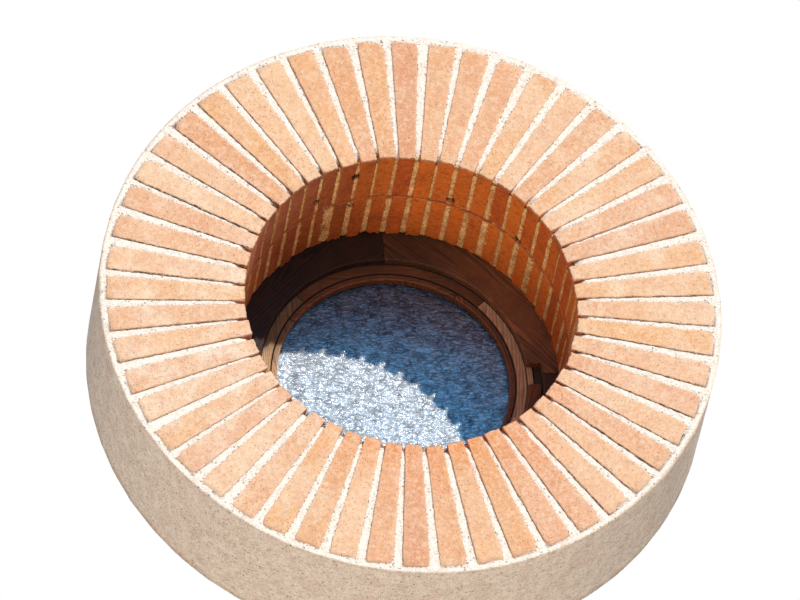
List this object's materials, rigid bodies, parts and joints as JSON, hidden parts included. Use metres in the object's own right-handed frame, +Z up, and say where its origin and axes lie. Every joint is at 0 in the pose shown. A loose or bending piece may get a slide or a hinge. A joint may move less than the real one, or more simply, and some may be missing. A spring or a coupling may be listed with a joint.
{
  "type": "oculus window",
  "caption": "Round timber window on horizontal pivots behind a deep ring of wedge bricks, with obscure glass, beads and a bolt.",
  "frame": {"origin": "on the window's axis, at the front of the mortar that beds the brick ring; the brick faces stand 4 mm in front of it", "axes": "-Y looks out of the wall towards the viewer, +Y into the room, +Z up, +X to the right as seen from outside"},
  "size_m": [1.1, 0.3628, 1.1],
  "materials": {
    "brick": "fired clay, rough",
    "mortar": "sandy lime mortar, rough",
    "frame_timber": "dark stained, weathered",
    "sash_timber": "brown stained, weathered",
    "glass": "hammered, obscure",
    "bedding": "soft sealing bed",
    "brass": "aged",
    "steel": "zinc plated"
  },
  "bodies": {
    "frame": {"bolt_plate": "brass", "bolt_plate_screws": "brass", "frame_screws": "steel", "front_bricks_bottom": "brick", "front_bricks_left": "brick", "front_bricks_right": "brick", "front_bricks_top": "brick", "lining_bottom": "frame_timber", "lining_left": "frame_timber", "lining_right": "frame_timber", "lining_top": "frame_timber", "mortar_bed": "mortar", "outer_board_lower_left": "frame_timber", "outer_board_lower_right": "frame_timber", "outer_board_upper_left": "frame_timber", "outer_board_upper_right": "frame_timber", "pivot_socket_left": "brass", "pivot_socket_right": "brass", "pivot_socket_screws": "steel", "rear_bricks_bottom": "brick", "rear_bricks_left": "brick", "rear_bricks_right": "brick", "rear_bricks_top": "brick", "room_stop_bottom": "frame_timber", "room_stop_left": "frame_timber", "room_stop_right": "frame_timber", "room_stop_top": "frame_timber"},
    "sash": {"bolt_keeper": "brass", "bolt_keeper_screws": "brass", "glass_bedding": "bedding", "glass_pane": "glass", "glazing_bead_lower_left": "sash_timber", "glazing_bead_lower_right": "sash_timber", "glazing_bead_upper_left": "sash_timber", "glazing_bead_upper_right": "sash_timber", "pivot_pin_left": "brass", "pivot_pin_right": "brass", "pivot_pin_screws": "steel", "room_bead_left": "sash_timber", "room_bead_right": "sash_timber", "room_bead_top": "sash_timber", "sash_bottom": "sash_timber", "sash_dowels": "sash_timber", "sash_left": "sash_timber", "sash_right": "sash_timber", "sash_top": "sash_timber", "weather_bead_bottom": "sash_timber", "weather_bead_left": "sash_timber", "weather_bead_right": "sash_timber"},
    "bolt": {"bolt_bar": "brass"}
  },
  "joints": [
    {"name": "sash_pivot", "type": "hinge", "parent": "frame", "child": "sash", "pos_m": [0, 0.291, 0], "axis": [-1, 0, 0], "range_deg": [0, 55]},
    {"name": "bolt_slide", "type": "slide", "parent": "frame", "child": "bolt", "axis": [0, 0, -1], "range_m": [0, 0.02]}
  ]
}
